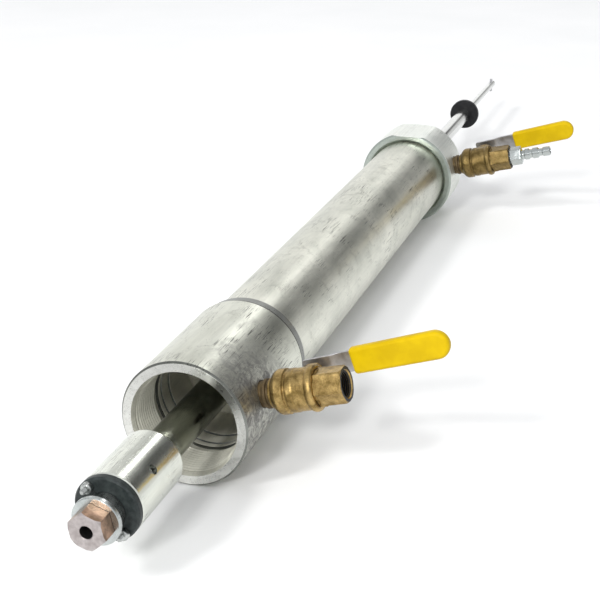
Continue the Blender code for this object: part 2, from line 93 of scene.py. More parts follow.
def valve_frames(prefix, angle, tilt):
    """Frames of a valve and its handle: local Z is the bore, outwards, angle its rise above level."""
    turn = Euler((0.0, math.radians(90.0 - angle), math.radians(tilt)), "ZYX").to_matrix().to_4x4()
    valve = Matrix.Translation(centre_of(prefix + "_ball")) @ turn
    return valve, valve @ Matrix.Rotation(-LEVER_SET, 4, "Y")


FRONT_VALVE, FRONT_HANDLE = valve_frames("front", 16.0, 0.0)
REAR_VALVE, REAR_HANDLE = valve_frames("rear", 14.0, 10.0)


# ---- mesh helpers ----------------------------------------------------------------------
def eased(outline, radius, pieces=3):
    """The closed outline with each corner off the axis replaced by a short arc."""
    out, count = [], len(outline)
    for i, here in enumerate(outline):
        p = Vector(here)
        before, after = Vector(outline[i - 1]) - p, Vector(outline[(i + 1) % count]) - p
        if p.x < 1e-6 or before.length < 1e-6 or after.length < 1e-6:
            out.append(tuple(p))
            continue
        bend = math.pi - before.angle(after)
        reach = min(radius * math.tan(bend / 2.0), before.length * 0.45, after.length * 0.45)
        if bend < math.radians(14.0) or reach < 0.02:
            out.append(tuple(p))
            continue
        start, end = p + before.normalized() * reach, p + after.normalized() * reach
        for k in range(pieces + 1):
            t = k / pieces
            out.append(tuple(start * (1 - t) ** 2 + p * 2 * t * (1 - t) + end * t * t))
    return out


def as_object(name, mesh, place):
    obj = bpy.data.objects.new(name, mesh)
    bpy.context.scene.collection.objects.link(obj)
    obj.matrix_world = place
    return obj


def from_bmesh(name, bm, place):
    bmesh.ops.recalc_face_normals(bm, faces=bm.faces)
    mesh = bpy.data.meshes.new(name)
    bm.to_mesh(mesh)
    bm.free()
    return as_object(name, mesh, place)


def turned(name, outline, place=ALONG, steps=96, ease=0.0):
    """Revolve a closed outline about the local Z axis."""
    if ease:
        outline = eased(outline, ease)
    bm = bmesh.new()
    rows = []
    for r, z in outline:
        if r < 1e-6:
            rows.append([bm.verts.new((0.0, 0.0, z * MM))] * steps)
            continue
        rows.append([bm.verts.new((r * MM * math.cos(TURN * k / steps),
                                   r * MM * math.sin(TURN * k / steps), z * MM))
                     for k in range(steps)])
    for a, b in zip(rows, rows[1:] + rows[:1]):
        for k in range(steps):
            n = (k + 1) % steps
            ring = []
            for v in (a[k], a[n], b[n], b[k]):
                if v not in ring:
                    ring.append(v)
            if len(ring) > 2:
                bm.faces.new(ring)
    return from_bmesh(name, bm, place)


def plain(radius, low, high):
    return [(0, high), (radius, high), (radius, low), (0, low)]


def band(outer, inner, low, high):
    return [(outer, high), (outer, low), (inner, low), (inner, high)]


def pressed(name, outline, low, high, place, facing="Y"):
    """Extrude a closed outline; facing Y takes (x, z), facing X takes (y, z)."""
    bm = bmesh.new()
    if facing == "Y":
        loop = [bm.verts.new((u * MM, low * MM, v * MM)) for u, v in outline]
        push = Vector((0.0, (high - low) * MM, 0.0))
    else:
        loop = [bm.verts.new((low * MM, u * MM, v * MM)) for u, v in outline]
        push = Vector(((high - low) * MM, 0.0, 0.0))
    face = bm.faces.new(loop)
    grown = bmesh.ops.extrude_face_region(bm, geom=[face])
    moved = [v for v in grown["geom"] if isinstance(v, bmesh.types.BMVert)]
    bmesh.ops.translate(bm, vec=push, verts=moved)
    return from_bmesh(name, bm, place)


def hexagon(name, across, low, high, corner_at, place):
    """Hexagon prism by its width across flats; corner_at turns it, in degrees."""
    corner = across / 2.0 / math.cos(math.pi / 6.0)
    bm = bmesh.new()
    ends = []
    for z in (low, high):
        ends.append([bm.verts.new((corner * MM * math.cos(math.radians(corner_at + 60.0 * k)),
                                   corner * MM * math.sin(math.radians(corner_at + 60.0 * k)), z * MM))
                     for k in range(6)])
    bm.faces.new(ends[0])
    bm.faces.new(ends[1])
    for k in range(6):
        n = (k + 1) % 6
        bm.faces.new((ends[0][k], ends[0][n], ends[1][n], ends[1][k]))
    return from_bmesh(name, bm, place)


def box_cutter(name, size, centre, place):
    bm = bmesh.new()
    bmesh.ops.create_cube(bm, size=MM, matrix=Matrix.Translation(Vector(centre) * MM)
                          @ Matrix.Diagonal((*size, 1.0)))
    return from_bmesh(name, bm, place)


def settle(obj):
    """Bake the object's modifiers into its mesh."""
    bpy.context.view_layer.update()
    view = obj.evaluated_get(bpy.context.evaluated_depsgraph_get())
    mesh = bpy.data.meshes.new_from_object(view)
    obj.modifiers.clear()
    obj.data = mesh


def carve(obj, operation, *others):
    """Combine obj with the other solids, which are used up."""
    for other in others:
        mod = obj.modifiers.new("carve", "BOOLEAN")
        mod.operation = operation
        mod.solver = "EXACT"
        mod.object = other
        settle(obj)
        bpy.data.objects.remove(other, do_unlink=True)
    return obj


def bevelled(obj, width, segments=2, angle=40.0):
    """Round the edges sharper than angle, in degrees."""
    mod = obj.modifiers.new("edges", "BEVEL")
    mod.width = width * MM
    mod.segments = segments
    mod.limit_method = "ANGLE"
    mod.angle_limit = math.radians(angle)
    mod.use_clamp_overlap = True
    settle(obj)
    return obj


def stand_for(obj, node, look):
    """Give the finished piece its look, its body and the CAD node that it shows."""
    obj.data.materials.clear()
    obj.data.materials.append(look)
    obj.data.shade_smooth()
    obj.data.set_sharp_from_angle(angle=SHARP)
    weigh = obj.modifiers.new("normals", "WEIGHTED_NORMAL")
    weigh.keep_sharp = True
    weigh.weight = 60
    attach(obj, nodes[node]["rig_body"])
    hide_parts(node)
    return obj


# ---- material helpers ------------------------------------------------------------------
class Nodes:
    """Short names for the nodes of one tree, and the position that its textures start from."""

    def __init__(self, tree, position):
        self.tree = tree
        self.spot = tree.nodes.new("ShaderNodeTexCoord").outputs[position]

    def feed(self, value, socket):
        if isinstance(value, bpy.types.NodeSocket):
            self.tree.links.new(value, socket)
        elif isinstance(value, tuple) and len(value) == 3 and socket.type == "RGBA":
            socket.default_value = (*value, 1.0)
        else:
            socket.default_value = value

    def at(self, scale=(1, 1, 1), turn=(0, 0, 0), shift=(0, 0, 0)):
        node = self.tree.nodes.new("ShaderNodeMapping")
        self.feed(self.spot, node.inputs["Vector"])
        node.inputs["Scale"].default_value = scale
        node.inputs["Rotation"].default_value = [math.radians(a) for a in turn]
        node.inputs["Location"].default_value = shift
        return node.outputs["Vector"]

    def noise(self, where, scale, detail=4.0, rough=0.55, twist=0.0):
        node = self.tree.nodes.new("ShaderNodeTexNoise")
        self.feed(where, node.inputs["Vector"])
        node.inputs["Scale"].default_value = scale
        node.inputs["Detail"].default_value = detail
        node.inputs["Roughness"].default_value = rough
        node.inputs["Distortion"].default_value = twist
        return node.outputs["Fac"]

    def cells(self, where, scale):
        node = self.tree.nodes.new("ShaderNodeTexVoronoi")
        self.feed(where, node.inputs["Vector"])
        node.inputs["Scale"].default_value = scale
        return node.outputs["Distance"]

    def ramp(self, value, *stops):
        """Map value through (place, grey or colour) stops."""
        node = self.tree.nodes.new("ShaderNodeValToRGB")
        self.feed(value, node.inputs["Fac"])
        items = node.color_ramp.elements
        while len(items) < len(stops):
            items.new(0.5)
        for item, (place, colour) in zip(items, stops):
            item.position = place
            item.color = (*colour, 1.0) if isinstance(colour, tuple) else (colour, colour, colour, 1.0)
        return node.outputs["Color"]

    def mix(self, share, a, b, how="MIX"):
        node = self.tree.nodes.new("ShaderNodeMix")
        node.data_type = "RGBA"
        node.blend_type = how
        self.feed(share, node.inputs[0])
        self.feed(a, node.inputs[6])
        self.feed(b, node.inputs[7])
        return node.outputs[2]

    def calc(self, how, a, b):
        node = self.tree.nodes.new("ShaderNodeMath")
        node.operation = how
        self.feed(a, node.inputs[0])
        self.feed(b, node.inputs[1])
        return node.outputs[0]

    def length(self, where):
        node = self.tree.nodes.new("ShaderNodeVectorMath")
        node.operation = "LENGTH"
        self.feed(where, node.inputs[0])
        return node.outputs["Value"]

    def radius(self):
        """Distance from the piece's own Z axis."""
        return self.length(self.at((1, 1, 0)))

    def bearing(self):
        """Angle round the piece's own Z axis: 0.25 at the top, 0.5 at the right, 0.75 below."""
        node = self.tree.nodes.new("ShaderNodeTexGradient")
        node.gradient_type = "RADIAL"
        self.feed(self.spot, node.inputs["Vector"])
        return node.outputs["Fac"]


class Look(Nodes):
    """A material round one Principled shader; positions are the piece's own metres."""

    def __init__(self, name, metallic=0.0, **constants):
        self.mat = bpy.data.materials.new(name)
        self.mat.use_nodes = True
        super().__init__(self.mat.node_tree, "Object")
        self.shader = self.tree.nodes["Principled BSDF"]
        self.shader.inputs["Metallic"].default_value = metallic
        for key, value in constants.items():
            self.shader.inputs[key.replace("_", " ")].default_value = value

    def done(self, colour, roughness, height=None, depth=0.2, step=0.4):
        self.feed(colour, self.shader.inputs["Base Color"])
        self.feed(roughness, self.shader.inputs["Roughness"])
        if height is not None:
            bump = self.tree.nodes.new("ShaderNodeBump")
            bump.inputs["Strength"].default_value = depth
            bump.inputs["Distance"].default_value = step * MM
            self.feed(height, bump.inputs["Height"])
            self.feed(bump.outputs["Normal"], self.shader.inputs["Normal"])
        return self.mat


def scratches(look, *sets):
    """Sparse thin marks: each set is (turn, length scale, width scale, threshold, shift)."""
    total = None
    for turn, long, wide, level, shift in sets:
        line = look.noise(look.at((wide, wide, long), turn, (shift, shift, shift)), 1.0, 2.0, 0.5, 0.4)
        here = look.ramp(line, (level, 0.0), (level + 0.025, 1.0))
        total = here if total is None else look.calc("MAXIMUM", total, here)
    gate = look.ramp(look.noise(look.at(shift=(3, 1, 2)), 34.0, 3.0), (0.50, 0.0), (0.64, 1.0))
    return look.calc("MULTIPLY", total, gate)


def zinc(name, light, dark, rough, smudge, speckle, scored, ringed, worn_and_shaded=None, metallic=1.0):
    """Zinc plate over pipe: cloudy tone, fine grain along the axis, scuffs, specks and turning marks.

    smudge, speckle, scored and ringed are the strengths of the stains, the specks, the scratches
    and the turning marks. Round the worn point the tone is painted dark and matt, partly as wear
    from handling and partly as painted shade, the dark reflection of shadowed floor; the point is
    in the piece's own metres.
    """
    k = Look(name, metallic)
    cloud = k.noise(k.at((1, 1, 0.45)), 30.0, 6.0, 0.62, 0.6)
    grain = k.noise(k.at((520, 520, 16)), 1.0, 3.0)
    tone = k.mix(k.ramp(cloud, (0.34, 0.0), (0.68, 1.0)), dark, light)
    tone = k.mix(0.5, tone, k.ramp(grain, (0.30, 0.80), (0.62, 1.0)), "MULTIPLY")
    marks = scratches(k, ((34, 0, 0), 42, 1250, 0.64, 0.0), ((-48, 12, 0), 32, 1100, 0.645, 5.0),
                      ((80, 0, 20), 48, 1150, 0.64, 9.0))
    tone = k.mix(k.calc("MULTIPLY", marks, scored), tone, (0.10, 0.10, 0.09))
    patch = k.noise(k.at((1, 1, 0.7), shift=(7, 2, 4)), 52.0, 7.0, 0.72, 1.2)
    patch = k.ramp(patch, (0.54, 0.0), (0.70, 1.0))
    tone = k.mix(k.calc("MULTIPLY", patch, smudge), tone, (0.22, 0.22, 0.20))
    specks = k.ramp(k.cells(k.at((1, 1, 0.6)), 420.0), (0.10, 1.0), (0.20, 0.0))
    where = k.ramp(k.noise(k.at(shift=(1, 8, 6)), 60.0, 4.0, 0.6), (0.50, 0.0), (0.62, 1.0))
    specks = k.calc("MULTIPLY", specks, where)
    tone = k.mix(k.calc("MULTIPLY", specks, speckle), tone, (0.10, 0.10, 0.09))
    rings = k.noise(k.at((3, 3, 2400)), 1.0, 2.0)
    wet = k.calc("ADD", k.calc("MULTIPLY", cloud, 0.16), k.calc("MULTIPLY", grain, 0.10))
    wet = k.calc("ADD", k.calc("ADD", wet, rough - 0.13), k.calc("MULTIPLY", patch, 0.12))
    # a dark, matt, mottled patch round the worn point: partly wear, partly painted shade
    if worn_and_shaded:
        scuff_and_shade = k.ramp(k.length(k.at(shift=-worn_and_shaded)), (0.034, 1.0), (0.068, 0.0))
        blot = k.noise(k.at(shift=(4, 4, 9)), 150.0, 6.0, 0.72, 1.0)
        blot = k.ramp(blot, (0.36, 0.25), (0.58, 1.0))
        scuff_and_shade = k.calc("MULTIPLY", scuff_and_shade, blot)
        tone = k.mix(k.calc("MULTIPLY", scuff_and_shade, 0.85), tone, (0.13, 0.125, 0.13))
        wet = k.calc("ADD", wet, k.calc("MULTIPLY", scuff_and_shade, 0.22))
    height = k.calc("ADD", k.calc("MULTIPLY", grain, 0.35), k.calc("MULTIPLY", rings, ringed))
    height = k.calc("SUBTRACT", height, k.calc("MULTIPLY", marks, 0.9))
    height = k.calc("SUBTRACT", height, k.calc("MULTIPLY", specks, 0.7))
    height = k.calc("ADD", height, k.calc("MULTIPLY", cloud, 0.8))
    return k.done(tone, wet, height, 0.22, 0.25)


def brass(name, light, dark, rough):
    """Cast and tumbled brass: pebbled skin, brown in the hollows."""
    k = Look(name, metallic=1.0)
    broad = k.noise(k.at(), 120.0, 4.0, 0.6, 0.3)
    pebble = k.noise(k.at(), 900.0, 5.0, 0.65)
    tone = k.mix(k.ramp(broad, (0.35, 0.0), (0.66, 1.0)), dark, light)
    tone = k.mix(0.75, tone, k.ramp(pebble, (0.30, 0.55), (0.60, 1.0)), "MULTIPLY")
    stain = k.noise(k.at(shift=(2, 5, 1)), 260.0, 5.0, 0.7, 0.8)
    stain = k.ramp(stain, (0.56, 0.0), (0.72, 1.0))
    tone = k.mix(k.calc("MULTIPLY", stain, 0.55), tone, (0.20, 0.11, 0.04))
    wet = k.calc("ADD", k.calc("MULTIPLY", pebble, 0.28), rough - 0.14)
    return k.done(tone, wet, k.calc("ADD", pebble, k.calc("MULTIPLY", broad, 1.4)), 0.5, 0.35)


def plainish(name, light, dark, rough, metallic, grain_scale, depth=0.2, **constants):
    """An even surface with slow tone drift and a fine grain."""
    k = Look(name, metallic=metallic, **constants)
    drift = k.noise(k.at(), grain_scale / 9.0, 4.0, 0.6, 0.4)
    grain = k.noise(k.at(), grain_scale, 4.0, 0.6)
    tone = k.mix(k.ramp(drift, (0.36, 0.0), (0.64, 1.0)), dark, light)
    wet = k.calc("ADD", k.calc("MULTIPLY", drift, 0.10), rough - 0.12)
    wet = k.calc("ADD", k.calc("MULTIPLY", grain, 0.14), wet)
    return k.done(tone, wet, grain, depth, 0.2)


def faced(name, tint, rough, *painted_sheen_fan):
    """A lathe-faced end with fine rings; its fan of (bearing, grey) stops paints highlights and reflections
    round the axis.
    """
    k = Look(name, metallic=1.0)
    rings = k.noise(k.calc("MULTIPLY", k.radius(), 2600.0), 1.0, 2.0)
    cloud = k.noise(k.at(), 160.0, 5.0, 0.6, 0.4)
    # painted highlights and reflections: grey set by the bearing round the face
    tone = k.mix(1.0, k.ramp(k.bearing(), *painted_sheen_fan), tint, "MULTIPLY")
    tone = k.mix(0.6, tone, k.ramp(cloud, (0.30, 0.72), (0.60, 1.0)), "MULTIPLY")
    specks = k.ramp(k.cells(k.at(), 300.0), (0.08, 1.0), (0.16, 0.0))
    tone = k.mix(k.calc("MULTIPLY", specks, 0.4), tone, (0.12, 0.12, 0.11))
    wet = k.calc("ADD", k.calc("MULTIPLY", cloud, 0.2), rough - 0.1)
    return k.done(tone, wet, k.calc("ADD", rings, cloud), 0.2, 0.2)


def repaint(obj, look, chosen):
    """Give the faces picked by chosen(radius, station, normal) a look of their own."""
    obj.data.materials.append(look)
    last = len(obj.data.materials) - 1
    for face in obj.data.polygons:
        middle = face.center
        if chosen(math.hypot(middle.x, middle.y) / MM, middle.z / MM, face.normal):
            face.material_index = last


# where the front valve's neck enters the collar, and the patch just below it that is painted dark: partly
# scuffing, partly painted shade for the shadowed floor that it reflects
FRONT_PORT = (ALONG.inverted() @ FRONT_VALVE @ Matrix.Translation((0.0, 0.0, -0.031))).translation
SCUFF_AND_SHADE = FRONT_PORT + Vector((0.0, 0.012, -0.012))

ZINC_TUBE = zinc("zinc_tube", (0.82, 0.82, 0.73), (0.56, 0.57, 0.50), 0.35, 0.30, 0.55, 0.90, 0.10)
ZINC_COLLAR = zinc("zinc_collar", (0.82, 0.83, 0.74), (0.60, 0.61, 0.53), 0.32, 0.50, 0.80, 0.95, 0.35,
                   worn_and_shaded=SCUFF_AND_SHADE)
ZINC_CAP = zinc("zinc_cap", (0.96, 0.98, 0.93), (0.84, 0.87, 0.82), 0.44, 0.12, 0.20, 0.35, 0.10)
# near-black zinc for chamfers and groove steps: painted shade and dark reflection
ZINC_EDGE_SHADE = zinc("zinc_edge_painted_shade", (0.26, 0.27, 0.25), (0.13, 0.135, 0.12), 0.30, 0.30, 0.30, 0.30, 0.60)
ZINC_SEAT = zinc("zinc_cap_front", (0.50, 0.55, 0.50), (0.36, 0.40, 0.36), 0.34, 0.20, 0.20, 0.20, 0.50)
ZINC_BORE = zinc("zinc_bore", (0.74, 0.73, 0.63), (0.56, 0.55, 0.47), 0.46, 0.15, 0.30, 0.20, 0.30,
                 metallic=0.35)
ZINC_SMALL = zinc("zinc_small", (0.62, 0.65, 0.64), (0.44, 0.47, 0.46), 0.22, 0.10, 0.45, 0.20, 0.50)
BRIGHT = zinc("bright_steel_turned", (0.84, 0.86, 0.79), (0.70, 0.72, 0.65), 0.22, 0.16, 0.60, 0.40,
              0.25)
POLISHED = zinc("polished_rod", (0.78, 0.79, 0.77), (0.66, 0.67, 0.65), 0.13, 0.05, 0.20, 0.20, 0.15)
OILED = zinc("oiled_rod", (0.30, 0.31, 0.26), (0.20, 0.21, 0.17), 0.15, 0.20, 0.40, 0.40, 0.20)
# the collar's front face, with painted highlights and reflections fanned round it
RIM_PAINTED_SHEEN = faced("faced_rim_painted_sheen", (1.0, 1.0, 0.95), 0.28, (0.0, 0.70), (0.20, 0.52), (0.29, 0.58), (0.33, 0.98),
            (0.355, 0.22), (0.41, 0.26), (0.47, 0.70), (0.60, 0.60), (0.72, 0.98), (1.0, 0.70))
DULL = plainish("dull_steel_plate", (0.58, 0.58, 0.60), (0.40, 0.40, 0.41), 0.40, 1.0, 900.0)
SCREW = plainish("screw_steel", (0.60, 0.62, 0.60), (0.34, 0.35, 0.34), 0.28, 1.0, 1500.0)
BRASS_FRONT = brass("cast_brass_front", (0.60, 0.42, 0.165), (0.23, 0.152, 0.050), 0.36)
# the rear valve gets a darker copy of the same cast brass: painted shade for the dimmer light at the rear
BRASS_REAR_SHADED = brass("cast_brass_rear", (0.35, 0.248, 0.098), (0.16, 0.110, 0.038), 0.40)
BRONZE = plainish("bronze_bush", (0.58, 0.38, 0.20), (0.44, 0.27, 0.13), 0.34, 1.0, 1200.0)
RUBBER = plainish("black_rubber_moulded", (0.012, 0.012, 0.013), (0.005, 0.005, 0.006), 0.46, 0.0,
                  1600.0, 0.3, Specular_IOR_Level=0.25)
SLATE = plainish("slate_packing_fibre", (0.028, 0.035, 0.034), (0.011, 0.015, 0.015), 0.42, 0.0,
                 2200.0, 0.5, Specular_IOR_Level=0.30)
PTFE = plainish("white_ptfe", (0.85, 0.85, 0.82), (0.76, 0.76, 0.73), 0.45, 0.0, 900.0)


def copper_look():
    k = Look("copper_plated_nut", metallic=1.0)
    drift = k.noise(k.at(), 150.0, 5.0, 0.65, 0.5)
    rings = k.noise(k.calc("MULTIPLY", k.radius(), 2600.0), 1.0, 2.0)
    tone = k.mix(k.ramp(drift, (0.38, 0.0), (0.62, 1.0)), (0.15, 0.098, 0.064), (0.36, 0.235, 0.165))
    wet = k.calc("ADD", k.calc("MULTIPLY", drift, 0.25), 0.20)
    return k.done(tone, wet, k.calc("ADD", k.calc("MULTIPLY", rings, 0.5), drift), 0.25, 0.2)


def nut_face_look():
    k = Look("copper_plated_face", metallic=1.0)
    rings = k.noise(k.at(), 900.0, 3.0)
    drift = k.noise(k.at(), 220.0, 4.0)
    tone = k.mix(k.ramp(drift, (0.36, 0.0), (0.64, 1.0)), (0.38, 0.34, 0.33), (0.52, 0.475, 0.465))
    return k.done(tone, k.calc("ADD", k.calc("MULTIPLY", rings, 0.2), 0.34), rings, 0.25, 0.2)


def vinyl_look():
    k = Look("yellow_vinyl_dip", IOR=1.45, Specular_IOR_Level=0.12)
    peel = k.noise(k.at(), 1100.0, 3.0, 0.5)
    drift = k.noise(k.at(), 60.0, 3.0, 0.5)
    tone = k.mix(k.ramp(drift, (0.35, 0.0), (0.65, 1.0)), (0.50, 0.335, 0.002), (0.60, 0.415, 0.003))
    scuff = k.noise(k.at((1, 1, 0.4), shift=(2, 2, 2)), 420.0, 4.0, 0.6, 0.6)
    scuff = k.ramp(scuff, (0.66, 0.0), (0.74, 1.0))
    tone = k.mix(k.calc("MULTIPLY", scuff, 0.35), tone, (0.36, 0.22, 0.01))
    return k.done(tone, k.calc("ADD", k.calc("MULTIPLY", peel, 0.2), 0.34), peel, 0.18, 0.3)


# near-black for holes, bores, recesses and gaps: painted shade, with some oily grime in the bores
SHADE_AND_GRIME = plainish("bore_shade_and_grime", (0.012, 0.010, 0.009), (0.004, 0.004, 0.004), 0.60, 0.0, 1500.0, 0.4)
SEALANT = plainish("thread_sealant", (0.16, 0.11, 0.05), (0.05, 0.035, 0.018), 0.50, 0.6, 900.0, 0.6)
COPPER = copper_look()
NUT_FACE = nut_face_look()
VINYL = vinyl_look()

# looks of the CAD pieces that stay, by the CAD's own material names
KEPT = {"zinc_steel": ZINC_SMALL, "bright_steel": BRIGHT, "dull_steel": DULL, "valve_brass": BRASS_FRONT,
        "bronze": BRONZE, "copper_nut": COPPER, "black_rubber": RUBBER, "slate_packing": SLATE,
        "ptfe": PTFE, "yellow_vinyl": VINYL}
for tag, node in nodes.items():
    node.data.materials[0] = KEPT[slots[tag]]


# ---- barrel ----------------------------------------------------------------------------
COLLAR_R, COLLAR_END = 50.8, 138.0
TUBE_R, BORE_R = 44.45, 39.0
THREAD_R, THREAD_PITCH, THREAD_DEPTH, THREAD_TURNS = 41.7, 3.175, 1.5, 11


def mouth_thread():
    """Inside thread, root to crest, walked from the mouth inwards; the first turns are shallow."""
    points = []
    for turn in range(THREAD_TURNS):
        start = 2.4 + THREAD_PITCH * turn
        crest = THREAD_R - THREAD_DEPTH * min(1.0, 0.35 + 0.35 * turn)
        points += [(THREAD_R, start), (THREAD_R, start + 0.35),
                   (crest, start + 1.45), (crest, start + 1.85)]
    return points + [(THREAD_R, 37.3)]


def port_hole(name, place):
    """Cutter for the hole that takes a valve's threaded neck."""
    return turned(name, plain(10.75, -60.0, -8.0), place, 48)


collar_outside = [(47.6, COLLAR_END), (48.8, 136.2), (50.1, 126.4), (49.7, 125.6), (49.7, 124.8),
                  (COLLAR_R, 124.2), (COLLAR_R, 1.5), (49.3, 0.0), (42.7, 0.0)]
collar_bore = [(43.1, 38.0), (43.1, 44.0), (40.4, 44.4), (40.4, 48.2), (42.0, 48.6), (42.0, 51.4),
               (40.8, 51.8), (40.8, 62.0), (42.0, 62.4), (42.0, 65.2), (40.4, 65.6), (40.4, 100.0),
               (44.85, 100.0), (44.85, COLLAR_END)]
collar = turned("front_collar_turned", collar_outside + mouth_thread() + collar_bore, steps=144, ease=0.3)
carve(collar, "DIFFERENCE", port_hole("front_port", FRONT_VALVE))
stand_for(collar, "front_collar", ZINC_COLLAR)
repaint(collar, RIM_PAINTED_SHEEN, lambda r, z, n: n.z < -0.9 and z < 0.3)
repaint(collar, ZINC_BORE, lambda r, z, n: r < 43.4 and 0.3 < z < 130.0)
# painted shade on the steps of the grooves inside the bore
repaint(collar, ZINC_EDGE_SHADE, lambda r, z, n: 40.6 < r < 43.4 and 37.5 < z < 66.0 and abs(n.z) > 0.3)
# painted dark reflection and shade on the outer chamfers at both ends
repaint(collar, ZINC_EDGE_SHADE, lambda r, z, n: r > 47.0 and (z > 124.0 or 0.1 < z < 1.45))
# painted shade in the groove behind the rear bead and on the rear chamfer against the tube
repaint(collar, SHADE_AND_GRIME, lambda r, z, n: r > 47.0 and (124.1 < z < 126.2 or z > 136.4))

bulkhead = turned("front_gland_turned", [
    (44.5, 111.6), (44.5, 100.3), (32.0, 100.3), (24.0, 100.3), (22.6, 101.7), (17.2, 101.7),
    (17.2, 103.6), (19.0, 103.6), (19.0, 109.4), (17.2, 109.4), (17.2, 111.6)], steps=96)
stand_for(bulkhead, "front_gland", ZINC_BORE)
# painted shade in the gland's inner recess
repaint(bulkhead, SHADE_AND_GRIME, lambda r, z, n: r < 31.9)

tube = turned("barrel_tube_drawn", band(TUBE_R, BORE_R, 112.0, 684.0), steps=144, ease=0.6)
stand_for(tube, "barrel_tube", ZINC_TUBE)

cap = turned("rear_cap_turned", [
    (51.0, 725.0), (54.4, 721.6), (54.4, 665.2), (52.2, 663.0), (47.45, 663.0), (44.85, 665.4),
    (44.85, 684.5), (BORE_R, 684.5), (BORE_R, 703.0), (13.0, 703.0), (13.0, 725.0)], steps=144, ease=0.9)
for side in (1, -1):
    carve(cap, "DIFFERENCE", box_cutter("flat", (120.0, 24.0, 72.0), (0.0, -side * 62.8, 694.0), ALONG))
carve(cap, "DIFFERENCE", port_hole("rear_port", REAR_VALVE))
stand_for(cap, "rear_cap", ZINC_CAP)
repaint(cap, ZINC_SEAT, lambda r, z, n: z < 664.4 and n.z < -0.4)

gland = hexagon("rear_gland_nut_cut", 36.0, 725.3, 735.0, 30.0, ALONG)
carve(gland, "INTERSECT", turned("round", [(0, 740.0), (17.0, 736.0), (20.8, 733.4), (20.8, 720.0),
                                           (0, 720.0)], steps=64))
carve(gland, "DIFFERENCE", turned("bore", plain(10.1, 720.0, 740.0), steps=64))
stand_for(bevelled(gland, 0.3), "rear_gland_nut", SCREW)


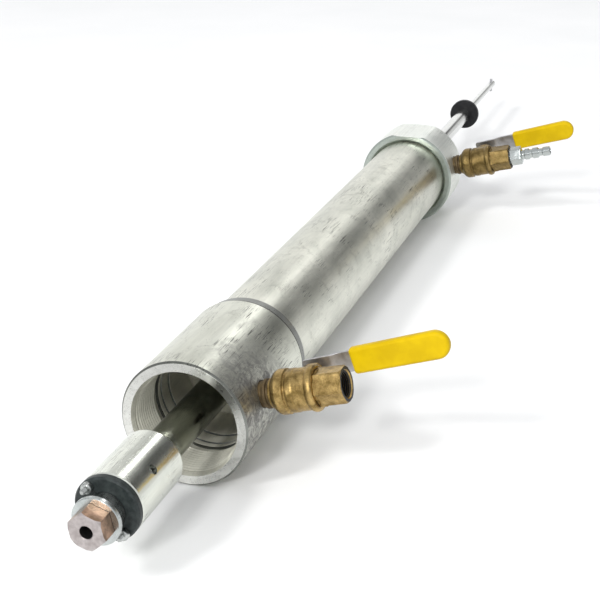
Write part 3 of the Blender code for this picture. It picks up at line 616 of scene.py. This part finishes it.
# ---- ball valves -----------------------------------------------------------------------
def ball_valve(prefix, valve, handle, look, grip_from):
    """A whole valve: valve is the frame along its bore, handle the same turned with the lever."""
    up, over = valve @ UPRIGHT, handle @ UPRIGHT

    body = turned(prefix + "_valve_body_cast", [
        (0, 14.0), (16.0, 14.0), (17.3, 13.2), (17.9, 11.6), (17.9, 10.4), (17.3, 8.8), (16.3, 7.8),
        (16.3, -2.0), (16.7, -3.0), (16.7, -7.0), (15.7, -7.8), (15.7, -9.0), (17.3, -10.0),
        (17.3, -16.0), (16.1, -18.4), (13.6, -20.6), (11.8, -20.8), (11.8, -23.2), (10.0, -24.0),
        (10.0, -25.4), (11.5, -26.0), (11.5, -28.2), (10.4, -29.2), (9.9, -37.4), (0, -37.4)],
        valve, 96, 0.5)
    boss = turned("boss", [(0, 25.8), (8.8, 25.8), (9.6, 25.0), (9.6, 19.0), (11.2, 15.0), (11.2, 3.0),
                           (0, 3.0)], up, 64, 0.6)
    cavity = turned("cavity", [(0, 20.0), (14.0, 20.0), (14.0, 8.3), (12.0, 8.3), (12.0, -6.4),
                               (10.7, -6.4), (10.7, -13.5), (6.9, -13.5), (6.9, -50.0), (0, -50.0)],
                    valve, 48)
    stem_way = turned("way", [(0, 40.0), (6.4, 40.0), (6.4, 20.0), (4.2, 20.0), (4.2, 13.1), (5.8, 13.1),
                              (5.8, 3.0), (0, 3.0)], up, 40)
    carve(body, "UNION", boss)
    carve(body, "DIFFERENCE", cavity, stem_way)
    stand_for(body, prefix + "_valve_body", look)
    repaint(body, SEALANT, lambda r, z, n: z < -23.6)

    outlet = hexagon(prefix + "_valve_outlet_cast", 25.8, 14.3, 36.0, 90.0, valve)
    carve(outlet, "INTERSECT", turned("round", [
        (0, 36.4), (12.9, 36.4), (14.4, 34.6), (14.4, 20.0), (16.6, 18.6), (16.6, 10.0), (0, 10.0)],
        valve, 96, 0.7))
    bevelled(outlet, 0.45, 2, 25.0)
    carve(outlet, "UNION", turned("insert", plain(13.5, 8.6, 16.0), valve, 64))
    way = [(0, 8.0), (10.7, 8.0), (10.7, 13.5), (6.9, 13.5), (6.9, 20.6), (9.0, 21.4)]
    for turn in range(8):
        way += [(10.35, 22.3 + 1.55 * turn), (9.35, 22.9 + 1.55 * turn), (9.35, 23.25 + 1.55 * turn)]
    way += [(10.4, 35.0), (11.2, 36.6), (0, 36.6)]
    carve(outlet, "DIFFERENCE", turned("thread", way, valve, 64))
    stand_for(outlet, prefix + "_valve_outlet", look)
    # painted shade on alternate thread flanks and in the inner bore of the outlet
    repaint(outlet, SHADE_AND_GRIME, lambda r, z, n: (9.5 < r < 10.3 and z < 34.8) or r < 9.2)

    nut = hexagon(prefix + "_packing_nut_cut", 15.0, 26.1, 32.0, 30.0, up)
    carve(nut, "INTERSECT", turned("round", [
        (0, 36.0), (6.4, 32.6), (8.7, 31.0), (8.7, 24.0), (0, 24.0)], up, 64))
    carve(nut, "UNION", turned("nose", plain(6.1, 23.2, 27.0), up, 48))
    carve(nut, "DIFFERENCE", turned("bore", plain(4.15, 20.0, 36.0), up, 48))
    stand_for(nut, prefix + "_packing_nut", look)

    stem = turned(prefix + "_stem_turned", [
        (0, 46.6), (2.6, 46.6)] + [(3.2 if k % 2 else 2.9, 46.1 - 0.5 * k) for k in range(18)]
        + [(3.9, 36.4), (3.9, 12.8), (5.4, 12.8), (5.4, 11.4), (0, 11.4)], over, 48)
    carve(stem, "UNION", box_cutter("tang", (2.8, 7.2, 3.4), (0.0, 0.0, 10.3), over))
    stand_for(stem, prefix + "_stem", look)

    lever_nut = hexagon(prefix + "_lever_nut_cut", 10.0, 39.7, 44.2, 30.0, over)
    carve(lever_nut, "INTERSECT", turned("round", [
        (0, 50.0), (4.6, 44.8), (5.9, 43.6), (5.9, 38.0), (0, 38.0)], over, 48))
    carve(lever_nut, "DIFFERENCE", turned("bore", plain(3.5, 36.0, 48.0), over, 40))
    stand_for(lever_nut, prefix + "_lever_nut", SCREW)

    # pressed lever with rolled bends, then the grip dipped over it
    level, reach, thick = 38.0, 105.0, 2.4
    run = [(-11.0, level - 1.0), (11.5, level - 1.0), (13.2, level - 0.75), (15.0, level),
           (18.2, level + 1.3), (20.0, level + 1.85), (21.8, level + 2.0), (reach, level + 2.0)]
    side = [(h, out) for out, h in run] + [(h + thick, out) for out, h in reversed(run)]
    lever = pressed(prefix + "_lever_pressed", side, -11.5, 11.5, handle, "X")
    plan = [(-7.0, -11.0), (7.0, -11.0), (8.4, -10.2), (9.0, -8.6), (9.0, 10.0), (8.6, 26.0),
            (8.6, reach - 6.0), (4.0, reach), (-4.0, reach), (-8.6, reach - 6.0), (-8.6, 26.0),
            (-9.0, 10.0), (-9.0, -8.6), (-8.4, -10.2)]
    carve(lever, "INTERSECT", pressed("blank", plan, level - 8.0, level + 12.0, handle))
    carve(lever, "DIFFERENCE", turned("eye", plain(3.55, level - 6.0, level + 8.0), over, 48))
    stand_for(bevelled(lever, 0.5, 2, 50.0), prefix + "_lever", DULL)

    half, round_from, middle = 11.2, 96.0, level + 2.0 + thick / 2.0
    plan = [(-10.6, grip_from), (10.6, grip_from), (half, round_from)]
    plan += [(half * math.cos(math.pi * n / 20.0), round_from + 11.0 * math.sin(math.pi * n / 20.0))
             for n in range(1, 20)]
    plan += [(-half, round_from)]
    grip = pressed(prefix + "_grip_dipped", plan, middle - 4.4, middle + 4.4, handle)
    bevelled(grip, 3.0, 5, 50.0)
    hollow = [(-8.9, grip_from - 4.0), (8.9, grip_from - 4.0), (8.9, reach - 4.8), (4.6, reach + 0.3),
              (-4.6, reach + 0.3), (-8.9, reach - 4.8)]
    carve(grip, "DIFFERENCE", pressed("hollow", hollow, level + 1.7, level + 2.3 + thick, handle))
    stand_for(grip, prefix + "_grip", VINYL)


ball_valve("front", FRONT_VALVE, FRONT_HANDLE, BRASS_FRONT, 28.0)
ball_valve("rear", REAR_VALVE, REAR_HANDLE, BRASS_REAR_SHADED, 35.0)

plug = turned("rear_air_plug_turned", [
    (4.6, 83.0), (5.4, 82.2), (5.4, 75.0), (4.3, 74.0), (4.3, 70.4), (6.2, 68.6), (6.2, 63.0),
    (5.0, 62.2), (5.0, 59.4), (6.4, 58.0), (6.4, 54.0), (5.4, 53.2), (5.4, 50.6), (8.0, 49.8),
    (8.0, 36.8), (8.9, 36.4), (8.9, 23.2), (8.3, 22.4), (3.4, 22.4), (3.4, 83.0)], REAR_VALVE, 64, 0.3)
plug_hex = hexagon("plug_hex", 19.0, 36.9, 49.2, 30.0, REAR_VALVE)
bevelled(plug_hex, 0.4)
carve(plug, "UNION", plug_hex)
carve(plug, "DIFFERENCE", turned("way", plain(3.4, 20.0, 90.0), REAR_VALVE, 48))
stand_for(plug, "rear_air_plug", ZINC_SMALL)


# ---- rod group -------------------------------------------------------------------------
ROD_R, REAR_ROD_R, TIP_ROD_R = 14.0, 9.5, 4.75
NOSE_R, NOSE_PIN_R, PIN_HOLE_R = 23.8, 3.4, 3.7

# across the nose sleeve, 91 mm in front of the mouth
PIN = (Matrix.Translation(AXIS + Vector((0.0, -91.0 * MM, 0.0)))
       @ Matrix.Rotation(math.radians(50.7), 4, "Y"))
rod = turned("front_rod_ground", [
    (0, 399.7), (13.0, 399.7), (ROD_R, 398.7), (ROD_R, -102.0), (13.0, -103.0), (0, -103.0)],
    steps=96, ease=0.4)
carve(rod, "DIFFERENCE", turned("pin_way", plain(PIN_HOLE_R, -30.0, 30.0), PIN, 40))
stand_for(rod, "front_rod", OILED)

head = turned("nose_sleeve_turned", [
    (21.2, -53.0), (23.4, -54.6), (NOSE_R, -56.0), (NOSE_R, -118.2), (23.0, -119.0), (0, -119.0),
    (0, -103.4), (14.3, -103.4), (14.3, -53.0)], steps=128, ease=0.5)
carve(head, "DIFFERENCE", turned("pin_way", plain(PIN_HOLE_R, -30.0, 30.0), PIN, 40))
stand_for(head, "nose_sleeve", BRIGHT)
stand_for(turned("nose_pin_rolled", band(NOSE_PIN_R, 1.9, -18.0, 18.0), PIN, 40, 0.3), "nose_pin", DULL)

disc = turned("packing_disc_cut", [(23.5, -119.4), (NOSE_R, -120.0), (NOSE_R, -124.0), (22.6, -125.2),
                                   (0, -125.2), (0, -119.4)], steps=128, ease=0.4)
stand_for(disc, "packing_disc", SLATE)
spacer = turned("nose_spacer_turned", plain(13.5, -136.9, -125.5), steps=96, ease=0.4)
stand_for(spacer, "nose_spacer", SCREW)
washer = turned("backing_washer_turned", [(17.0, -137.2), (17.6, -137.8), (17.6, -140.4), (17.0, -141.0),
                                          (0, -141.0), (0, -137.2)], steps=128, ease=0.5)
stand_for(washer, "backing_washer", ZINC_SMALL)

nozzle = hexagon("nozzle_nut_cut", 24.4, -154.4, -141.3, -42.0, ALONG)
carve(nozzle, "INTERSECT", turned("round", [(0, -130.0), (14.6, -130.0), (14.6, -152.4), (12.4, -154.6),
                                            (0, -154.6)], steps=96))
carve(nozzle, "DIFFERENCE", turned("way", [(0, -142.5), (4.7, -142.5), (4.7, -153.9), (5.4, -154.6),
                                           (5.4, -160.0), (0, -160.0)], steps=64))
stand_for(nozzle, "nozzle_nut", COPPER)
repaint(nozzle, NUT_FACE, lambda r, z, n: n.z < -0.6)
# painted shade, with oily grime, inside the nozzle's bore
repaint(nozzle, SHADE_AND_GRIME, lambda r, z, n: r < 4.9 and z > -154.0)

for tag, angle in (("upper", 129.0), ("lower", -51.0)):
    a = math.radians(angle)
    spot = ALONG @ Matrix.Translation((19.6 * math.cos(a) * MM, -19.6 * math.sin(a) * MM, 0.0))
    stud = [(3.9 - 0.7 * (k / 4.0) ** 2, -128.4 - 0.25 * k) for k in range(5)]
    shank = [(1.9 if k % 2 else 1.6, -129.6 - 0.5 * k) for k in range(9)]
    screw = turned("nose_screw_" + tag + "_turned", [(0, -125.5), (3.9, -125.5)] + stud + shank
                   + [(1.3, -134.2), (0, -134.2)], spot, 48)
    stand_for(screw, "nose_screw_" + tag, SCREW)

rear_rod = turned("rear_rod_ground", [
    (0, 992.7), (8.9, 992.7), (REAR_ROD_R, 992.1), (REAR_ROD_R, 440.9), (8.9, 440.3), (0, 440.3)],
    steps=96, ease=0.3)
stand_for(rear_rod, "rear_rod", POLISHED)

bumper = turned("bumper_disc_moulded", [
    (18.2, 1003.0), (19.8, 1001.4), (19.8, 994.6), (18.2, 993.0), (0, 993.0), (0, 1003.0)],
    steps=128, ease=1.2)
stand_for(bumper, "bumper_disc", RUBBER)
stand_for(turned("bumper_collar_turned", [(0, 1013.0), (10.2, 1013.0), (11.0, 1012.2), (11.0, 1004.1),
                                          (10.2, 1003.3), (0, 1003.3)], steps=96, ease=0.3),
          "bumper_collar", SCREW)
# across the rear end of the tip rod
TIP = Matrix.Translation(AXIS + Vector((0.0, 1196.0 * MM, 0.0)))
tip = turned("tip_rod_ground", [
    (0, 1206.0), (4.15, 1206.0), (TIP_ROD_R, 1205.4), (TIP_ROD_R, 1013.9), (4.15, 1013.3), (0, 1013.3)],
    steps=64, ease=0.3)
carve(tip, "DIFFERENCE", turned("way", plain(2.4, -8.0, 8.0), TIP, 32))
stand_for(tip, "tip_rod", POLISHED)
stand_for(turned("tip_pin_turned", plain(2.0, -10.0, 9.0), TIP, 32, 0.3), "tip_pin", DULL)


# ---- floor, light and camera -----------------------------------------------------------
bm = bmesh.new()
bmesh.ops.create_grid(bm, x_segments=2, y_segments=2, size=60.0)
floor = from_bmesh("floor", bm, Matrix.Translation((0.0, 0.0, -0.0002)))
sheet = Look("pale_floor", IOR=1.3)
tone = sheet.ramp(sheet.noise(sheet.at(), 3.0, 3.0),
                  (0.3, (0.86, 0.865, 0.86)), (0.7, (0.90, 0.90, 0.895)))
floor.data.materials.append(sheet.done(tone, 0.85))

world = bpy.data.worlds.new("studio")
bpy.context.scene.world = world
world.use_nodes = True
sky = Nodes(world.node_tree, "Generated")
split = sky.tree.nodes.new("ShaderNodeSeparateXYZ")
sky.feed(sky.spot, split.inputs[0])


def spread(axis, start, end):
    """0 to 1 over a stretch of the directions along an axis, given in halves of -1 to 1."""
    share = sky.calc("ADD", sky.calc("MULTIPLY", split.outputs[axis], 0.5), 0.5)
    return sky.ramp(share, (start, 0.0), (end, 1.0))


# an even bright room; at the back it is brighter low on the left and has a dark panel on the right
back_left = sky.ramp(split.outputs["Z"],
                     (0.0, 1.42), (0.42, 1.42), (0.50, 0.80), (0.60, 0.75), (0.70, 1.0))
back_right = sky.ramp(split.outputs["Z"],
                      (0.0, 1.0), (0.16, 0.95), (0.28, 0.12), (0.54, 0.10), (0.70, 1.0))
side = spread("X", 0.505, 0.575)
behind = spread("Y", 0.68, 0.75)
backdrop = sky.tree.nodes["Background"]
sky.feed(sky.mix(behind, (0.96, 0.97, 1.0), sky.mix(side, back_left, back_right)), backdrop.inputs["Color"])
backdrop.inputs["Strength"].default_value = 0.80


def softbox(name, azimuth, height, away, wide, tall, watts, mirrored=True):
    """Area light aimed at the object; azimuth is from +Y towards +X, in degrees.

    mirrored says whether it shows in glossy surfaces or only lights matt ones.
    """
    a, e = math.radians(azimuth), math.radians(height)
    aim = Vector((0.0, -0.25, 0.05))
    spot = aim + away * Vector((math.sin(a) * math.cos(e), math.cos(a) * math.cos(e), math.sin(e)))
    light = bpy.data.lights.new(name, "AREA")
    light.shape = "RECTANGLE"
    light.size, light.size_y, light.energy = wide, tall, watts
    obj = bpy.data.objects.new(name, light)
    bpy.context.scene.collection.objects.link(obj)
    obj.location = spot
    obj.rotation_euler = (aim - spot).to_track_quat("-Z", "Y").to_euler()
    obj.visible_glossy = mirrored
    return obj


softbox("back_softbox", -1.0, 42.5, 3.0, 0.46, 0.70, 4.0)
softbox("front_key", -178.0, 31.0, 6.0, 0.80, 0.80, 150.0)
softbox("front_left_key", -151.0, 38.0, 6.0, 0.90, 0.90, 150.0, mirrored=False)
softbox("front_right_fill", 157.0, 53.0, 6.0, 1.20, 1.20, 30.0, mirrored=False)

camera = bpy.data.cameras.new("camera")
camera.lens, camera.sensor_width = 76.86, 36.0
view = bpy.data.objects.new("camera", camera)
bpy.context.scene.collection.objects.link(view)
view.location = AXIS + Vector((0.3509, -0.7687, 0.4421))
view.rotation_euler = (math.radians(67.83), 0.0, math.radians(18.69))
bpy.context.scene.camera = view
bpy.context.scene.view_settings.view_transform = "Standard"
